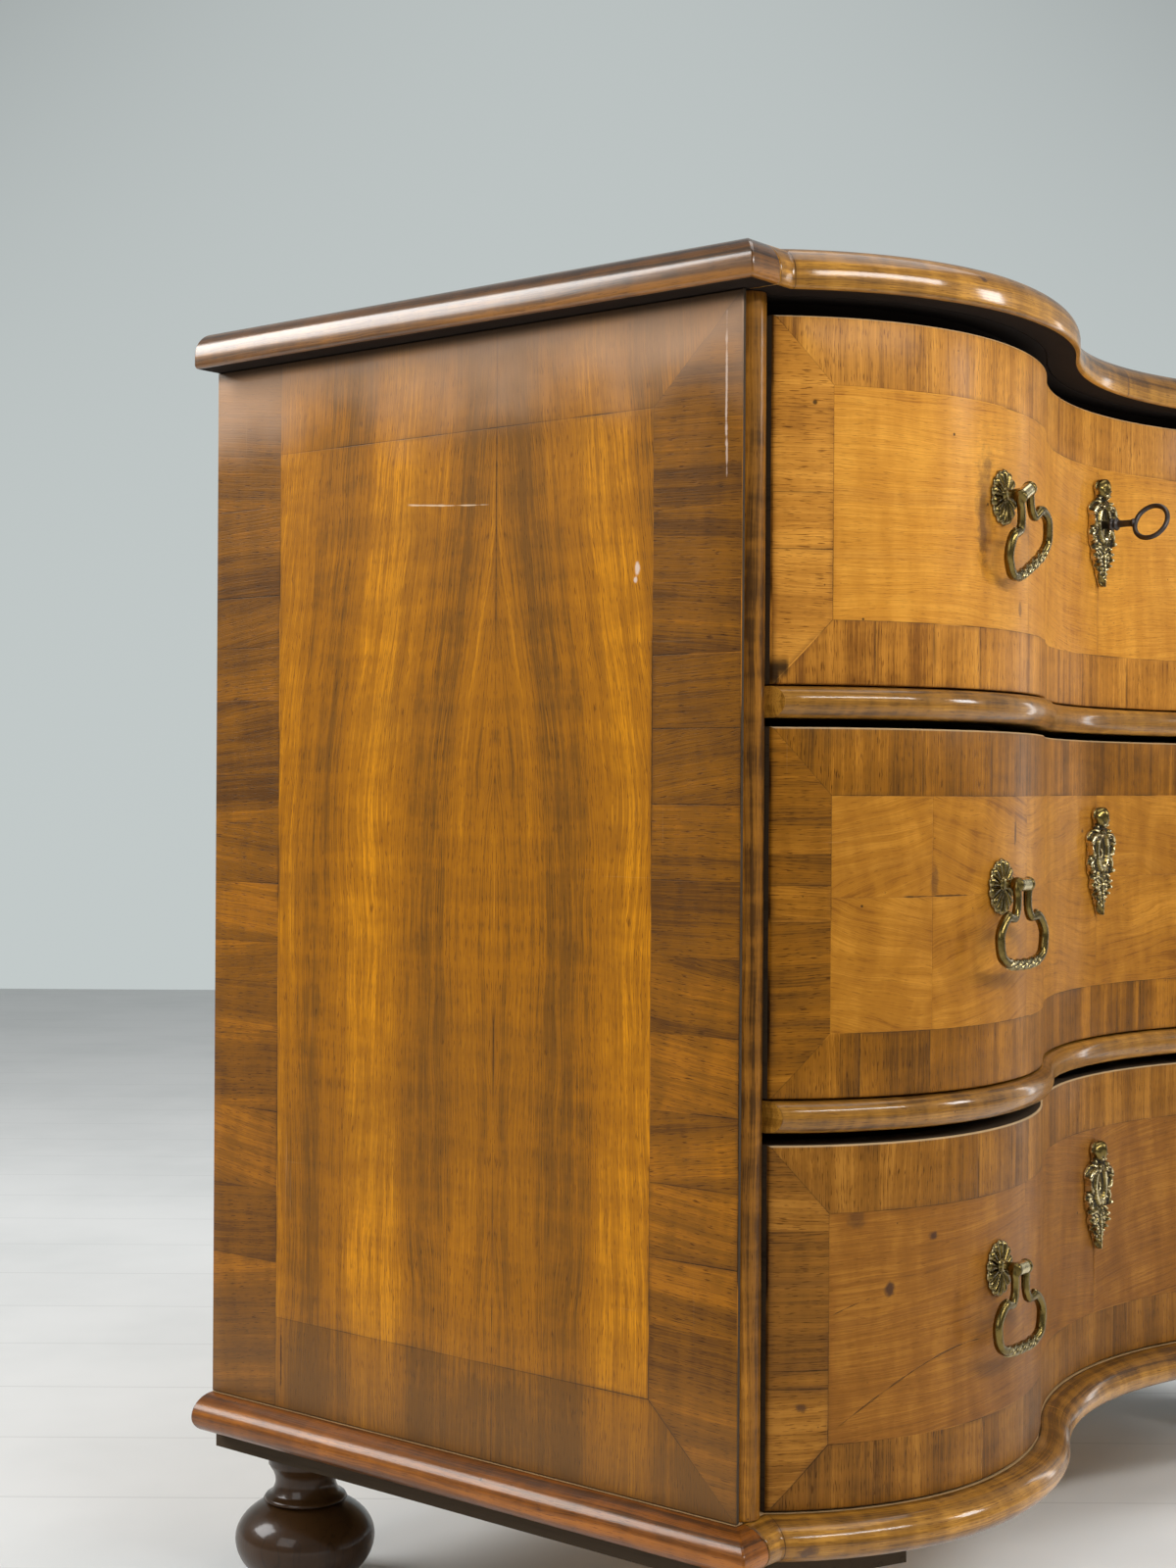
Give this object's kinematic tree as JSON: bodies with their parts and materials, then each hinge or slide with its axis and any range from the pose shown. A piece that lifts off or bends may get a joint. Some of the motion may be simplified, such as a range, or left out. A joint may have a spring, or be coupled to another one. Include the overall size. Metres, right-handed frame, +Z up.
{
  "type": "serpentine chest of drawers",
  "caption": "Walnut serpentine chest of drawers on turned bun feet, with swept drawer fronts, half-round rails, bail pulls, key plates and a turning key.",
  "frame": {"origin": "centre of the bounding box's base, on the floor", "axes": "+Z up, -Y out of the drawer fronts, +X to the viewer's right along the front"},
  "size_m": [0.964, 0.535, 0.8699],
  "materials": {
    "walnut_case": "satin old shellac",
    "walnut_front": "satin old shellac",
    "walnut_edge": "glossy old shellac",
    "stained_foot": "glossy dark stain",
    "inner_pine": "unfinished, aged",
    "old_brass": "aged, darkened",
    "old_iron": "dark"
  },
  "bodies": {
    "case": {"top_board": "walnut_case", "top_moulding_left": "walnut_edge", "top_moulding_right": "walnut_edge", "top_moulding_front": "walnut_edge", "side_left": "walnut_case", "side_right": "walnut_case", "post_left": "walnut_edge", "post_right": "walnut_edge", "back_board_lower": "inner_pine", "back_board_upper": "inner_pine", "rail_top": "inner_pine", "divider_upper": "walnut_edge", "divider_lower": "walnut_edge", "base_board": "inner_pine", "base_moulding_left": "walnut_edge", "base_moulding_right": "walnut_edge", "base_moulding_front": "walnut_edge", "bearer_left": "stained_foot", "bearer_right": "stained_foot", "foot_front_left": "stained_foot", "foot_front_right": "stained_foot", "foot_back_left": "stained_foot", "foot_back_right": "stained_foot"},
    "drawer_1": {"drawer_1_front": "walnut_front", "drawer_1_side_left": "inner_pine", "drawer_1_side_right": "inner_pine", "drawer_1_back": "inner_pine", "drawer_1_bottom": "inner_pine", "lock_case_1": "old_iron", "escutcheon_1": "old_brass", "pull_plate_1_left": "old_brass", "pull_plate_1_right": "old_brass"},
    "drawer_2": {"drawer_2_front": "walnut_front", "drawer_2_side_left": "inner_pine", "drawer_2_side_right": "inner_pine", "drawer_2_back": "inner_pine", "drawer_2_bottom": "inner_pine", "lock_case_2": "old_iron", "escutcheon_2": "old_brass", "pull_plate_2_left": "old_brass", "pull_plate_2_right": "old_brass"},
    "drawer_3": {"drawer_3_front": "walnut_front", "drawer_3_side_left": "inner_pine", "drawer_3_side_right": "inner_pine", "drawer_3_back": "inner_pine", "drawer_3_bottom": "inner_pine", "lock_case_3": "old_iron", "escutcheon_3": "old_brass", "pull_plate_3_left": "old_brass", "pull_plate_3_right": "old_brass"},
    "bail_1_left": {"bail_1_left": "old_brass"},
    "bail_1_right": {"bail_1_right": "old_brass"},
    "lock_bolt_1": {"lock_bolt_1": "old_iron"},
    "bail_2_left": {"bail_2_left": "old_brass"},
    "bail_2_right": {"bail_2_right": "old_brass"},
    "lock_bolt_2": {"lock_bolt_2": "old_iron"},
    "bail_3_left": {"bail_3_left": "old_brass"},
    "bail_3_right": {"bail_3_right": "old_brass"},
    "lock_bolt_3": {"lock_bolt_3": "old_iron"},
    "key": {"key": "old_iron"}
  },
  "joints": [
    {"name": "drawer_1_slide", "type": "slide", "parent": "case", "child": "drawer_1", "axis": [0, -1, 0], "range_m": [0, 0.3]},
    {"name": "drawer_2_slide", "type": "slide", "parent": "case", "child": "drawer_2", "axis": [0, -1, 0], "range_m": [0, 0.3]},
    {"name": "drawer_3_slide", "type": "slide", "parent": "case", "child": "drawer_3", "axis": [0, -1, 0], "range_m": [0, 0.3]},
    {"name": "bail_1_left_swing", "type": "hinge", "parent": "drawer_1", "child": "bail_1_left", "pos_m": [-0.27765, -0.26073, 0.7388], "axis": [-0.8908, -0.0206, -0.454], "range_deg": [-3, 158]},
    {"name": "bail_1_right_swing", "type": "hinge", "parent": "drawer_1", "child": "bail_1_right", "pos_m": [0.27765, -0.26073, 0.7388], "axis": [-0.9997, 0.0232, 0], "range_deg": [-11, 150]},
    {"name": "lock_bolt_1_slide", "type": "slide", "parent": "drawer_1", "child": "lock_bolt_1", "axis": [0, 0, 1], "range_m": [-0.00085, 0.01013]},
    {"name": "bail_2_left_swing", "type": "hinge", "parent": "drawer_2", "child": "bail_2_left", "pos_m": [-0.27765, -0.26073, 0.4991], "axis": [-0.9997, -0.0232, 0], "range_deg": [-11, 150]},
    {"name": "bail_2_right_swing", "type": "hinge", "parent": "drawer_2", "child": "bail_2_right", "pos_m": [0.27765, -0.26073, 0.4991], "axis": [-0.9997, 0.0232, 0], "range_deg": [-11, 150]},
    {"name": "lock_bolt_2_slide", "type": "slide", "parent": "drawer_2", "child": "lock_bolt_2", "axis": [0, 0, 1], "range_m": [0, 0.0105]},
    {"name": "bail_3_left_swing", "type": "hinge", "parent": "drawer_3", "child": "bail_3_left", "pos_m": [-0.27765, -0.26073, 0.2644], "axis": [-0.9997, -0.0232, 0], "range_deg": [-11, 150]},
    {"name": "bail_3_right_swing", "type": "hinge", "parent": "drawer_3", "child": "bail_3_right", "pos_m": [0.27765, -0.26073, 0.2644], "axis": [-0.9997, 0.0232, 0], "range_deg": [-11, 150]},
    {"name": "lock_bolt_3_slide", "type": "slide", "parent": "drawer_3", "child": "lock_bolt_3", "axis": [0, 0, 1], "range_m": [0, 0.0105]},
    {"name": "key_turn", "type": "hinge", "parent": "drawer_1", "child": "key", "pos_m": [0, -0.17311, 0.7507], "axis": [0, 1, 0], "range_deg": [-28, 332]}
  ],
  "couplings": [
    {"joint": "key_turn", "follows": "lock_bolt_1_slide", "rad_per_m": 571.43}
  ]
}
